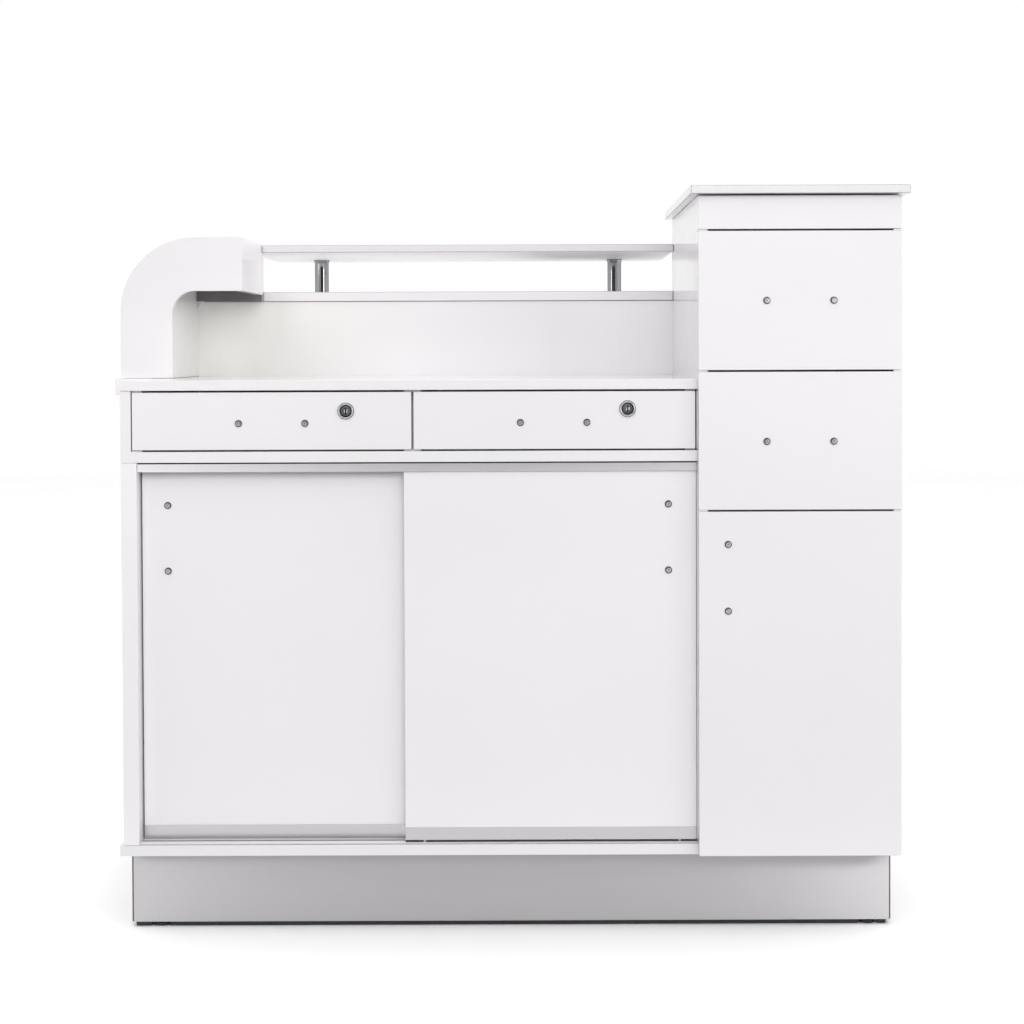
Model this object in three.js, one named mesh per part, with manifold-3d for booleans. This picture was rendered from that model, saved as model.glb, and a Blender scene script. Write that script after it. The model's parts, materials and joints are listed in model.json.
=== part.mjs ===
// Reception desk with a low drawer-and-sliding-door unit, a tall drawer tower on the right,
// a hollow arch on the left and a raised transaction counter on the client side.
// Millimetres, +Z up. Staff side faces -Y, client side faces +Y. Floor at z = 0.
import * as THREE from "three";
import { mergeVertices } from "three/addons/utils/BufferGeometryUtils.js";
import Module from "manifold-3d";

const wasm = await Module();
wasm.setup();

// ---------------------------------------------------------------- driving dimensions
// X and Y below are measured from a working datum; the whole group is shifted at the end
// so that the origin is the middle of the footprint at floor level.
const ORIGIN_X = -62.5; // middle of the overall width
const ORIGIN_Y = 326.5; // middle of the overall depth
const GAP = 0.4; // fitting gap between boards

// levels
const FOOT_H = 6.6;
const PLINTH_Z0 = 7, PLINTH_Z1 = 116.6;
const BASE_Z0 = 117, BASE_Z1 = 132.5;
const BODY_Z0 = BASE_Z1 + GAP;
const DECK_Z0 = 688.8, DECK_Z1 = 704.5;
const TOP_Z0 = 793, TOP_Z1 = 808; // worktop
const SHELF_Z0 = 934.2, SHELF_Z1 = 950;
const COUNTER_Z0 = 1016.4, COUNTER_Z1 = 1028.6;
const TOWER_Z1 = 1071.6, TOWER_TOP_Z0 = 1072, TOWER_TOP_Z1 = 1084;

// plan, desk unit
const BASE_X0 = -606.5;
const SIDE_X0 = -601.5, SIDE_X1 = -578.5; // left side panel, 23 thick
const CASE_L_X1 = -573.6; // inner face of the drawer case on the left
const DESK_X1 = 232.3; // desk boards stop here, against the tower
const BACK_Y0 = 404, BACK_Y1 = 419; // inner back panel
const CLIENT_Y0 = 612, CLIENT_Y1 = 630; // client front panel
const CLIENT_EDGE_Y = 645, COUNTER_EDGE_Y = 683; // client edges of shelf and counter
const COUNTER_X0 = -482, COUNTER_RL = 22, COUNTER_RR = 50; // counter end behind the arch, client corners
const REBATE_Y = 17.5; // drawer-front rebate depth
const DIVIDER_X0 = -192, DIVIDER_X1 = -167;
const CASE_R_X0 = 215.8, CASE_R_X1 = 231.2;

// plan, tower
const TW_X0 = 232.8, TW_X1 = 524.3, TW_T = 15;
const TW_BACK_Y = 420;
const FRONT_Y0 = -18.5, FRONT_Y1 = -0.5; // overlay fronts of the tower
const TOP_OVER_X0 = 221, TOP_OVER_X1 = 534.5, TOP_OVER_Y = -30;
const TW_FRONT = {
  fascia: [1022.3, 1070.2],
  upper: [820.3, 1019.7],
  lower: [619.6, 817.7],
  door: [120, 617],
};

// desk drawers
const DF_T = 16, DF_Z0 = 707, DF_Z1 = 790.3;
const DF_L = [-584.7, -180.8], DF_R = [-177.6, 229.8];

// sliding doors
const DOOR_T = 12, DOOR_TOP = 683, STRIP_Z0 = 136.5, STRIP_Z1 = 155.9, TONGUE_Z = 134.6;
const FRONT_TRACK_Y = 6, REAR_TRACK_Y = 23;
const SD_R = [-192.6, 231.4], SD_L = [-576.5, -159];
const TRACK_Y0 = 2, TRACK_Y1 = 40, TRACK_Z0 = 675.2, TRACK_Z1 = 688.4;

// arch
const ARCH_Y0 = 205, ARCH_Y1 = 403, ARCH_WALL = 12;
const ARCH_X0 = -653, ARCH_LEG_X1 = -572, ARCH_END_X = -461.8;
const ARCH_Z1 = 1029.2, ARCH_ARM_Z0 = 945.2;
const ARCH_R = 117, ARCH_r = 34;
const LEDGE_X0 = -659.5, LEDGE_Y0 = 196, LEDGE_T = 25.6;

// fittings
const HANDLE_PITCH = 96;
const SCREW_HEAD_R = 5.2, SCREW_HEAD_H = 2.2, SCREW_R = 2, SCREW_HOLE_R = 2.5;
const LOCK_R = 12, LOCK_BODY_R = 8.5, LOCK_HOLE_R = 9.2, LOCK_PROUD = 3.5;
const POST_R = 12.5, POST_FLANGE_R = 14, POST_FLANGE_H = 3.5, POST_Y = 622;
const POST_X = [-392, 144];
const HINGE_Z = [205, 532], HINGE_CUP_R = 17.5, HINGE_CUP_D = 12, HINGE_INSET = 22.5;

// ---------------------------------------------------------------- materials
const mat = (color, roughness, metalness = 0) =>
  new THREE.MeshStandardMaterial({ color, roughness, metalness });
const WHITE = mat(0xefeef0, 0.18);
const BOXWOOD = mat(0xe6e4e2, 0.5);
const STEEL = mat(0xb9babc, 0.32, 1);
const ALU = mat(0xc8c9cb, 0.35, 1);
const CHROME = mat(0xd6d8da, 0.08, 1);
const BLACK = mat(0x1c1c1e, 0.6);
const DARK = mat(0x3a3a3d, 0.7);

// ---------------------------------------------------------------- solids
const toSolid = (geometry) => {
  const g = geometry.index ? geometry.toNonIndexed() : geometry.clone();
  g.deleteAttribute("normal");
  g.deleteAttribute("uv");
  const m = mergeVertices(g, 1e-4);
  return new wasm.Manifold(
    new wasm.Mesh({
      numProp: 3,
      vertProperties: new Float32Array(m.attributes.position.array),
      triVerts: new Uint32Array(m.index.array),
    }),
  );
};
const toGeometry = (solid) => {
  const m = solid.getMesh();
  const g = new THREE.BufferGeometry();
  const p = new Float32Array((m.vertProperties.length / m.numProp) * 3);
  for (let i = 0, j = 0; i < m.vertProperties.length; i += m.numProp) {
    p[j++] = m.vertProperties[i];
    p[j++] = m.vertProperties[i + 1];
    p[j++] = m.vertProperties[i + 2];
  }
  g.setAttribute("position", new THREE.BufferAttribute(p, 3));
  g.setIndex(new THREE.BufferAttribute(new Uint32Array(m.triVerts), 1));
  g.computeVertexNormals();
  return g;
};
const cut = (a, ...tools) => toGeometry(tools.reduce((s, t) => s.subtract(toSolid(t)), toSolid(a)));
const join = (a, ...more) => toGeometry(more.reduce((s, t) => s.add(toSolid(t)), toSolid(a)));

const box = (x0, x1, y0, y1, z0, z1) =>
  new THREE.BoxGeometry(x1 - x0, y1 - y0, z1 - z0).translate((x0 + x1) / 2, (y0 + y1) / 2, (z0 + z1) / 2);
// round bar along Y
const rodY = (r, x, z, y0, y1, n = 24) =>
  new THREE.CylinderGeometry(r, r, y1 - y0, n).translate(x, (y0 + y1) / 2, z);
// outline in XY, extruded upward
const slabXY = (shape, z0, z1, steps = 8) =>
  new THREE.ExtrudeGeometry(shape, { depth: z1 - z0, bevelEnabled: false, curveSegments: steps }).translate(0, 0, z0);
// outline given as X,Z, extruded along +Y
const slabXZ = (shape, y0, y1, steps = 12) =>
  new THREE.ExtrudeGeometry(shape, { depth: y1 - y0, bevelEnabled: false, curveSegments: steps })
    .rotateX(Math.PI / 2)
    .translate(0, y1, 0);
// outline given as Y,Z, extruded along +X
const slabYZ = (points, x0, x1) => {
  const s = new THREE.Shape(points.map(([y, z]) => new THREE.Vector2(y, z)));
  return new THREE.ExtrudeGeometry(s, { depth: x1 - x0, bevelEnabled: false })
    .applyMatrix4(new THREE.Matrix4().set(0, 0, 1, x0, 1, 0, 0, 0, 0, 1, 0, 0, 0, 0, 0, 1));
};
const polygon = (points) => new THREE.Shape(points.map(([x, y]) => new THREE.Vector2(x, y)));
// turned piece about the Z axis from [radius, height] pairs that start and end on the axis
const turned = (profile, n = 24) =>
  new THREE.LatheGeometry(profile.map(([r, h]) => new THREE.Vector2(r, h)), n).rotateX(Math.PI / 2);

const desk = new THREE.Group();
desk.name = "reception_desk";
const add = (name, geometry, material) => {
  const m = new THREE.Mesh(geometry, material);
  m.name = name;
  desk.add(m);
  return m;
};

// ---------------------------------------------------------------- plinth and feet
{
  const outer = [[-599.5, 40], [519.4, 40], [519.4, 404], [205, 404], [205, 600], [-599.5, 600]];
  const inner = [[-583.5, 56], [503.4, 56], [503.4, 388], [189, 388], [189, 584], [-583.5, 584]];
  const ring = polygon(outer);
  ring.holes.push(new THREE.Path(inner.map(([x, y]) => new THREE.Vector2(x, y))));
  add("plinth", slabXY(ring, PLINTH_Z0, PLINTH_Z1), STEEL);
  const foot = [[0, 0], [11, 0], [12.5, 1.5], [12.5, 4.2], [7.5, FOOT_H], [0, FOOT_H]];
  for (const [name, x, y] of [
    ["foot_front_left", -558, 55],
    ["foot_front_right", 488, 55],
    ["foot_rear_left", -558, 586],
    ["foot_rear_right", 488, 390],
  ])
    add(name, turned(foot, 20).translate(x, y, 0), BLACK);
}

// ---------------------------------------------------------------- body boards
add(
  "base_panel",
  slabXY(
    polygon([[BASE_X0, 0], [TW_X1, 0], [TW_X1, TW_BACK_Y], [TW_X0 + TW_T, TW_BACK_Y], [TW_X0 + TW_T, CLIENT_Y1], [BASE_X0, CLIENT_Y1]]),
    BASE_Z0,
    BASE_Z1,
  ),
  WHITE,
);
add(
  "left_side_panel",
  slabYZ(
    [
      [0, BODY_Z0],
      [CLIENT_Y0 - GAP, BODY_Z0],
      [CLIENT_Y0 - GAP, SHELF_Z0 - GAP],
      [BACK_Y0 + GAP, SHELF_Z0 - GAP],
      [BACK_Y0 + GAP, DECK_Z0 - GAP],
      [0, DECK_Z0 - GAP],
    ],
    SIDE_X0,
    SIDE_X1,
  ),
  WHITE,
);
add(
  "drawer_case_side_left",
  cut(
    box(SIDE_X0, CASE_L_X1, 0, BACK_Y0, DECK_Z0, TOP_Z0 - GAP),
    box(SIDE_X0 + 15, CASE_L_X1 + 5, -5, REBATE_Y, DECK_Z1 + 0.2, TOP_Z0 + 5),
    box(SIDE_X1, CASE_L_X1 + 5, -5, BACK_Y0 + 5, DECK_Z0 - 5, DECK_Z1 + GAP),
  ),
  WHITE,
);
add("drawer_case_side_right", box(CASE_R_X0, CASE_R_X1, REBATE_Y, BACK_Y0 - GAP, DECK_Z1 + GAP, TOP_Z0 - GAP), WHITE);
add("drawer_deck", box(SIDE_X1 + GAP, DESK_X1, 0, BACK_Y0 - GAP, DECK_Z0, DECK_Z1), WHITE);
add("drawer_divider", box(DIVIDER_X0, DIVIDER_X1, REBATE_Y, BACK_Y0 - GAP, DECK_Z1 + GAP, TOP_Z0 - GAP), WHITE);
add("worktop", box(SIDE_X0, DESK_X1, -2, BACK_Y0 - GAP, TOP_Z0, TOP_Z1), WHITE);
add("back_panel", box(SIDE_X1 + GAP, DESK_X1, BACK_Y0, BACK_Y1, BODY_Z0, SHELF_Z0 - GAP), WHITE);
add("client_front_panel", box(SIDE_X0, TW_X0 + TW_T, CLIENT_Y0, CLIENT_Y1, BODY_Z0, SHELF_Z0 - GAP), WHITE);

// ---------------------------------------------------------------- shelf, counter and posts
{
  const R = 40;
  const s = new THREE.Shape();
  s.moveTo(ARCH_END_X + GAP, BACK_Y0 - 3);
  s.lineTo(DESK_X1, BACK_Y0 - 3);
  s.lineTo(DESK_X1, TW_BACK_Y + GAP);
  s.lineTo(TW_X0 + TW_T, TW_BACK_Y + GAP);
  s.lineTo(TW_X0 + TW_T, CLIENT_EDGE_Y - R);
  s.absarc(TW_X0 + TW_T - R, CLIENT_EDGE_Y - R, R, 0, Math.PI / 2, false);
  s.lineTo(SIDE_X0 + R, CLIENT_EDGE_Y);
  s.absarc(SIDE_X0 + R, CLIENT_EDGE_Y - R, R, Math.PI / 2, Math.PI, false);
  s.lineTo(SIDE_X0, BACK_Y0 + GAP);
  s.lineTo(ARCH_END_X + GAP, BACK_Y0 + GAP);
  s.closePath();
  add("counter_shelf", slabXY(s, SHELF_Z0, SHELF_Z1, 12), WHITE);

  const c = new THREE.Shape();
  const X0 = ARCH_END_X + GAP, Y0 = 389;
  c.moveTo(X0, Y0);
  c.lineTo(DESK_X1, Y0);
  c.lineTo(DESK_X1, COUNTER_EDGE_Y - COUNTER_RR);
  c.absarc(DESK_X1 - COUNTER_RR, COUNTER_EDGE_Y - COUNTER_RR, COUNTER_RR, 0, Math.PI / 2, false);
  c.lineTo(COUNTER_X0 + COUNTER_RL, COUNTER_EDGE_Y);
  c.absarc(COUNTER_X0 + COUNTER_RL, COUNTER_EDGE_Y - COUNTER_RL, COUNTER_RL, Math.PI / 2, Math.PI, false);
  c.lineTo(COUNTER_X0, ARCH_Y1 + 0.6);
  c.lineTo(X0, ARCH_Y1 + 0.6);
  c.closePath();
  add("transaction_counter", slabXY(c, COUNTER_Z0, COUNTER_Z1, 12), WHITE);

  const z0 = SHELF_Z1 + GAP, h = COUNTER_Z0 - GAP - z0;
  const post = [
    [0, 0], [POST_FLANGE_R, 0], [POST_FLANGE_R, POST_FLANGE_H], [POST_R, POST_FLANGE_H],
    [POST_R, h - POST_FLANGE_H], [POST_FLANGE_R, h - POST_FLANGE_H], [POST_FLANGE_R, h], [0, h],
  ];
  add("counter_post_left", turned(post, 28).translate(POST_X[0], POST_Y, z0), CHROME);
  add("counter_post_right", turned(post, 28).translate(POST_X[1], POST_Y, z0), CHROME);
}

// ---------------------------------------------------------------- arch
{
  const z0 = TOP_Z1 + GAP;
  const outline = (x0, x1, zTop, zArm, xEnd, R, r) => {
    const s = new THREE.Shape();
    s.moveTo(x0, z0);
    s.lineTo(x1, z0);
    s.lineTo(x1, zArm - r);
    s.absarc(x1 + r, zArm - r, r, Math.PI, Math.PI / 2, true);
    s.lineTo(xEnd, zArm);
    s.lineTo(xEnd, zTop);
    s.lineTo(x0 + R, zTop);
    s.absarc(x0 + R, zTop - R, R, Math.PI / 2, Math.PI, false);
    s.closePath();
    return s;
  };
  const W = ARCH_WALL;
  const full = slabXZ(outline(ARCH_X0, ARCH_LEG_X1, ARCH_Z1, ARCH_ARM_Z0, ARCH_END_X, ARCH_R, ARCH_r), ARCH_Y0, ARCH_Y1, 16);
  // hollow of the leg, open at the foot
  const Ri = ARCH_R - W;
  const leg = new THREE.Shape();
  leg.moveTo(ARCH_X0 + W, z0 - 20);
  leg.lineTo(ARCH_LEG_X1 - W, z0 - 20);
  // inner skin follows the outer curve
  const cx = ARCH_X0 + ARCH_R, cz = ARCH_Z1 - ARCH_R;
  const xw = ARCH_LEG_X1 - W;
  const a0 = Math.acos((xw - cx) / Ri);
  leg.lineTo(xw, cz + Ri * Math.sin(a0));
  leg.absarc(cx, cz, Ri, a0, Math.PI, false);
  leg.closePath();
  // hollow of the arm, open underneath
  const arm = new THREE.Shape();
  const xa = ARCH_LEG_X1, a1 = Math.acos((xa - cx) / Ri);
  arm.moveTo(xa, ARCH_ARM_Z0 - 60);
  arm.lineTo(ARCH_END_X - W, ARCH_ARM_Z0 - 60);
  arm.lineTo(ARCH_END_X - W, ARCH_Z1 - W);
  arm.lineTo(cx, ARCH_Z1 - W);
  arm.absarc(cx, cz, Ri, Math.PI / 2, a1, false);
  arm.closePath();
  add(
    "arch_shell",
    cut(full, slabXZ(leg, ARCH_Y0 + W, ARCH_Y1 - W, 12), slabXZ(arm, ARCH_Y0 + W, ARCH_Y1 - W, 12)),
    WHITE,
  );
  add(
    "arch_liner",
    join(
      box(ARCH_LEG_X1 + 0.5, ARCH_END_X - W - 0.5, ARCH_Y1 - W - 6, ARCH_Y1 - W - GAP, SHELF_Z0 + 0.4, ARCH_Z1 - W - 12),
      box(ARCH_LEG_X1 + 0.5, ARCH_END_X, ARCH_Y1 - W - 6, ARCH_Y1 - W - GAP, SHELF_Z0 + 0.4, ARCH_ARM_Z0 - GAP),
    ),
    DARK,
  );
  add("arch_ledge", box(LEDGE_X0, SIDE_X0 - GAP, LEDGE_Y0, TW_BACK_Y, TOP_Z1 - LEDGE_T, TOP_Z1), WHITE);
}

// ---------------------------------------------------------------- tower carcass
add(
  "tower_side_left",
  slabYZ(
    [
      [0, BODY_Z0],
      [CLIENT_Y0 - GAP, BODY_Z0],
      [CLIENT_Y0 - GAP, SHELF_Z0 - GAP],
      [TW_BACK_Y, SHELF_Z0 - GAP],
      [TW_BACK_Y, TOWER_Z1],
      [0, TOWER_Z1],
    ],
    TW_X0,
    TW_X0 + TW_T,
  ),
  WHITE,
);
add("tower_side_right", box(TW_X1 - TW_T, TW_X1, 0, TW_BACK_Y, BODY_Z0, TOWER_Z1), WHITE);
add("tower_back", box(TW_X0 + TW_T + GAP, TW_X1 - TW_T - GAP, TW_BACK_Y - 15, TW_BACK_Y, BODY_Z0, TOWER_Z1), WHITE);
add("tower_top", box(TOP_OVER_X0, TOP_OVER_X1, TOP_OVER_Y, TW_BACK_Y, TOWER_TOP_Z0, TOWER_TOP_Z1), WHITE);
add("tower_fascia", box(TW_X0, TW_X1, FRONT_Y0, FRONT_Y1, TW_FRONT.fascia[0], TW_FRONT.fascia[1]), WHITE);

// drawer runners of the tower: two L-shaped rails per drawer on a common rear upright
const UP_BOX_Z = [836, 992], LOW_BOX_Z = [636, 790];
const RAIL_X = [[TW_X0 + TW_T + GAP, TW_X0 + TW_T + 12], [TW_X1 - TW_T - 12, TW_X1 - TW_T - GAP]];
const BOX_X = [RAIL_X[0][1] + 0.8, RAIL_X[1][0] - 0.8];
{
  const pieces = [];
  for (const [zb] of [UP_BOX_Z, LOW_BOX_Z]) {
    pieces.push(box(RAIL_X[0][0], RAIL_X[0][1], 4, 404.4, zb - 6, zb + 34));
    pieces.push(box(RAIL_X[0][0], RAIL_X[0][1] + 12, 4, 404.4, zb - 6, zb - 0.8));
    pieces.push(box(RAIL_X[1][0], RAIL_X[1][1], 4, 404.4, zb - 6, zb + 34));
    pieces.push(box(RAIL_X[1][0] - 12, RAIL_X[1][1], 4, 404.4, zb - 6, zb - 0.8));
    pieces.push(box(RAIL_X[0][0], RAIL_X[1][1], 394, 404.4, zb - 6, zb + 34));
  }
  pieces.push(box(360, 400, 394, 404.4, LOW_BOX_Z[0], UP_BOX_Z[0] + 10));
  add("tower_runner_frame", join(...pieces), ALU);
}

// ---------------------------------------------------------------- fittings
// handle screw with a low domed head, axis along Y, head towards -Y
const screwAt = (name, x, faceY, z, shank) => {
  const p = [
    [0, -shank], [SCREW_R, -shank], [SCREW_R, 0.3], [SCREW_HEAD_R, 0.3], [SCREW_HEAD_R, 0.9],
    [4.4, 1.8], [2.6, SCREW_HEAD_H], [1.5, SCREW_HEAD_H], [1.5, 1.2], [0, 1.2],
  ];
  const g = new THREE.LatheGeometry(p.map(([r, h]) => new THREE.Vector2(r, h)), 16);
  add(name, g.rotateX(Math.PI).translate(x, faceY, z), CHROME);
};
const screwHole = (x, y0, y1, z) => rodY(SCREW_HOLE_R, x, z, y0, y1, 12);

// cylinder lock: bezel ring, body through the front, cam behind
const lockAt = (name, x, z) => {
  const p = [
    [0, -LOCK_PROUD + 1.2], [6.2, -LOCK_PROUD + 1.2], [7.2, -LOCK_PROUD], [LOCK_R - 1.2, -LOCK_PROUD],
    [LOCK_R, -LOCK_PROUD + 1.4], [LOCK_R, -0.3], [LOCK_BODY_R, -0.3], [LOCK_BODY_R, DF_T + 1.5], [0, DF_T + 1.5],
  ];
  const body = new THREE.LatheGeometry(p.map(([r, h]) => new THREE.Vector2(r, h)), 28).translate(x, 0, z);
  const key = box(x - 0.8, x + 0.8, -LOCK_PROUD - 5, -LOCK_PROUD + 5, z - 3.6, z + 3.6);
  const cam = box(x - 6, x + 20, DF_T + 0.9, DF_T + 3.2, z - 6, z + 6);
  add(name, toGeometry(toSolid(body).add(toSolid(cam)).subtract(toSolid(key))), CHROME);
};

// open-topped drawer box
const tray = (x0, x1, y0, y1, z0, z1, wall = 12, floor = 8) =>
  cut(box(x0, x1, y0, y1, z0, z1), box(x0 + wall, x1 - wall, y0 + wall, y1 - wall, z0 + floor, z1 + 10));

// ---------------------------------------------------------------- desk drawers
const DESK_SCREW_X = { left: -382.5, right: 25 };
const DESK_SCREW_Z = { left: 745.4, right: 745.6 };
const DESK_LOCK = { left: [-275.4, 763], right: [132, 765] };
for (const [side, [x0, x1], [bx0, bx1]] of [
  ["left", DF_L, [CASE_L_X1 + 4.5, DIVIDER_X0 - 4.5]],
  ["right", DF_R, [DIVIDER_X1 + 4.5, CASE_R_X0 - 4.5]],
]) {
  const cx = DESK_SCREW_X[side], cz = DESK_SCREW_Z[side];
  const [lx, lz] = DESK_LOCK[side];
  add(
    "desk_drawer_" + side + "_front",
    cut(
      box(x0, x1, 0, DF_T, DF_Z0, DF_Z1),
      screwHole(cx - HANDLE_PITCH / 2, -5, DF_T + 5, cz),
      screwHole(cx + HANDLE_PITCH / 2, -5, DF_T + 5, cz),
      rodY(LOCK_HOLE_R, lx, lz, -5, DF_T + 5, 28),
    ),
    WHITE,
  );
  add("desk_drawer_" + side + "_box", tray(bx0, bx1, DF_T + GAP, 392, DECK_Z1 + 0.6, 748), BOXWOOD);
  screwAt("desk_drawer_" + side + "_screw_1", cx - HANDLE_PITCH / 2, 0, cz, 13);
  screwAt("desk_drawer_" + side + "_screw_2", cx + HANDLE_PITCH / 2, 0, cz, 13);
  lockAt("desk_drawer_" + side + "_lock", lx, lz);
}

// ---------------------------------------------------------------- tower drawers
const TW_CX = 378.6;
for (const [level, [z0, z1], [bz0, bz1], sz] of [
  ["upper", TW_FRONT.upper, UP_BOX_Z, 920],
  ["lower", TW_FRONT.lower, LOW_BOX_Z, 718],
]) {
  add(
    "tower_drawer_" + level + "_front",
    cut(
      box(TW_X0, TW_X1, FRONT_Y0, FRONT_Y1, z0, z1),
      screwHole(TW_CX - HANDLE_PITCH / 2, FRONT_Y0 - 5, FRONT_Y1 + 5, sz),
      screwHole(TW_CX + HANDLE_PITCH / 2, FRONT_Y0 - 5, FRONT_Y1 + 5, sz),
    ),
    WHITE,
  );
  add("tower_drawer_" + level + "_box", tray(BOX_X[0], BOX_X[1], FRONT_Y1 + GAP, 386, bz0, bz1), BOXWOOD);
  screwAt("tower_drawer_" + level + "_screw_1", TW_CX - HANDLE_PITCH / 2, FRONT_Y0, sz, 14);
  screwAt("tower_drawer_" + level + "_screw_2", TW_CX + HANDLE_PITCH / 2, FRONT_Y0, sz, 14);
}

// ---------------------------------------------------------------- tower door and its hinges
{
  const [z0, z1] = TW_FRONT.door;
  const sx = 274.8, sz = 522.2;
  add(
    "tower_door",
    cut(
      box(TW_X0, TW_X1, FRONT_Y0, FRONT_Y1, z0, z1),
      screwHole(sx, FRONT_Y0 - 5, FRONT_Y1 + 5, sz - HANDLE_PITCH / 2),
      screwHole(sx, FRONT_Y0 - 5, FRONT_Y1 + 5, sz + HANDLE_PITCH / 2),
      ...HINGE_Z.map((z) => rodY(HINGE_CUP_R, TW_X1 - HINGE_INSET, z, FRONT_Y1 - HINGE_CUP_D, FRONT_Y1 + 5, 24)),
    ),
    WHITE,
  );
  screwAt("tower_door_screw_1", sx, FRONT_Y0, sz + HANDLE_PITCH / 2, 14);
  screwAt("tower_door_screw_2", sx, FRONT_Y0, sz - HANDLE_PITCH / 2, 14);
  HINGE_Z.forEach((z, i) => {
    const xi = TW_X1 - TW_T - GAP;
    add(
      i ? "tower_hinge_upper" : "tower_hinge_lower",
      join(
        box(xi - 3, xi, 20, 62, z - 24, z + 24),
        box(xi - 14, xi - 2, 2, 70, z - 9, z + 9),
      ),
      STEEL,
    );
  });
}

// ---------------------------------------------------------------- sliding doors, strips and tracks
for (const [side, [x0, x1], y0, sx, sz] of [
  ["left", SD_L, REAR_TRACK_Y, -538.8, 577],
  ["right", SD_R, FRONT_TRACK_Y, 191, 578.5],
]) {
  const y1 = y0 + DOOR_T;
  add(
    "sliding_door_" + side,
    cut(
      box(x0, x1, y0, y1, STRIP_Z1 + GAP, DOOR_TOP),
      screwHole(sx, y0 - 5, y1 + 5, sz + HANDLE_PITCH / 2),
      screwHole(sx, y0 - 5, y1 + 5, sz - HANDLE_PITCH / 2),
    ),
    WHITE,
  );
  add(
    "sliding_door_" + side + "_strip",
    slabYZ(
      [
        [y0 - 0.6, STRIP_Z0], [y0 + 4, STRIP_Z0], [y0 + 4, TONGUE_Z], [y0 + 8, TONGUE_Z], [y0 + 8, STRIP_Z0],
        [y1 + 0.6, STRIP_Z0], [y1 + 0.6, STRIP_Z1], [y0 - 0.6, STRIP_Z1],
      ],
      x0,
      x1,
    ),
    ALU,
  );
  screwAt("sliding_door_" + side + "_screw_1", sx, y0, sz + HANDLE_PITCH / 2, 10);
  screwAt("sliding_door_" + side + "_screw_2", sx, y0, sz - HANDLE_PITCH / 2, 10);
}
{
  const c1 = FRONT_TRACK_Y - 1, c2 = REAR_TRACK_Y - 1, w = DOOR_T + 2, zc = 685.4;
  add(
    "door_track_top",
    slabYZ(
      [
        [TRACK_Y0, TRACK_Z0], [c1, TRACK_Z0], [c1, zc], [c1 + w, zc], [c1 + w, TRACK_Z0],
        [c2, TRACK_Z0], [c2, zc], [c2 + w, zc], [c2 + w, TRACK_Z0], [TRACK_Y1, TRACK_Z0],
        [TRACK_Y1, TRACK_Z1], [TRACK_Y0 + 3, TRACK_Z1], [TRACK_Y0 + 3, TRACK_Z1 - 1.6], [TRACK_Y0, TRACK_Z1 - 1.6],
      ],
      SIDE_X1 + GAP,
      DESK_X1,
    ),
    ALU,
  );
  const b0 = BODY_Z0, b1 = 135.9, g0 = 133.9;
  const t1 = FRONT_TRACK_Y + 3.4, t2 = REAR_TRACK_Y + 3.4, tw = 5.2;
  add(
    "door_track_bottom",
    slabYZ(
      [
        [TRACK_Y0, b0], [TRACK_Y1, b0], [TRACK_Y1, b1],
        [t2 + tw, b1], [t2 + tw, g0], [t2, g0], [t2, b1],
        [t1 + tw, b1], [t1 + tw, g0], [t1, g0], [t1, b1], [TRACK_Y0, b1],
      ],
      SIDE_X1 + GAP,
      DESK_X1,
    ),
    ALU,
  );
}

desk.position.set(-ORIGIN_X, -ORIGIN_Y, 0);

export default desk;
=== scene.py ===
"""Reception desk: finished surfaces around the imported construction."""

import json
import math

import bmesh
import bpy
from mathutils import Matrix, Vector


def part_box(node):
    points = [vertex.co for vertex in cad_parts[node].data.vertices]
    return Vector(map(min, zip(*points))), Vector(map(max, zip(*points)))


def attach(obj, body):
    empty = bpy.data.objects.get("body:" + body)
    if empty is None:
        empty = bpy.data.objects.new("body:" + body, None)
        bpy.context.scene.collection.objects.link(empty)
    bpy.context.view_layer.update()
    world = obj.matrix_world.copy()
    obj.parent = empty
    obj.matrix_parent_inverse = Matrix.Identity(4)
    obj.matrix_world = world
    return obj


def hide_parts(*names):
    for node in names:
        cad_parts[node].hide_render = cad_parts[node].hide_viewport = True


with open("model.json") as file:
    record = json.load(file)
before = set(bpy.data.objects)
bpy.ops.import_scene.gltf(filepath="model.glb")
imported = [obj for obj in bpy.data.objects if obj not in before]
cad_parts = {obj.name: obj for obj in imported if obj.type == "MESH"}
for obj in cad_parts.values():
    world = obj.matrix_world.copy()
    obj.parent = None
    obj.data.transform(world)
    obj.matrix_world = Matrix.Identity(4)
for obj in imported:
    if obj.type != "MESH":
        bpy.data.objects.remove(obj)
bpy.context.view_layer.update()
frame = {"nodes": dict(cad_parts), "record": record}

scene = bpy.context.scene
scene.view_settings.view_transform = "Standard"
scene.view_settings.look = "None"
scene.view_settings.exposure = 0.0
scene.view_settings.gamma = 1.0

MM = 0.001
BODY_OF = {
    n: b for b, ns in frame["record"]["behaviour"]["bodies"].items() for n in ns
}

# ------------------------------------------------------------------ camera
EYE = Vector((0.0617, -2.6265, 0.8477))
PITCH, ROLL = math.radians(0.978), -0.00356
cam_data = bpy.data.cameras.new("camera")
cam_data.sensor_fit = "HORIZONTAL"
cam_data.sensor_width = 36.0
cam_data.lens = 55.98
cam_data.shift_x = -0.0231
cam_data.shift_y = -0.1300
cam_data.clip_start = 0.05
cam_data.clip_end = 60.0
cam = bpy.data.objects.new("camera", cam_data)
scene.collection.objects.link(cam)
cam.matrix_world = (
    Matrix.Translation(EYE)
    @ Matrix.Rotation(math.pi / 2 - PITCH, 4, "X")
    @ Matrix.Rotation(ROLL, 4, "Z")
)
scene.camera = cam


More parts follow.
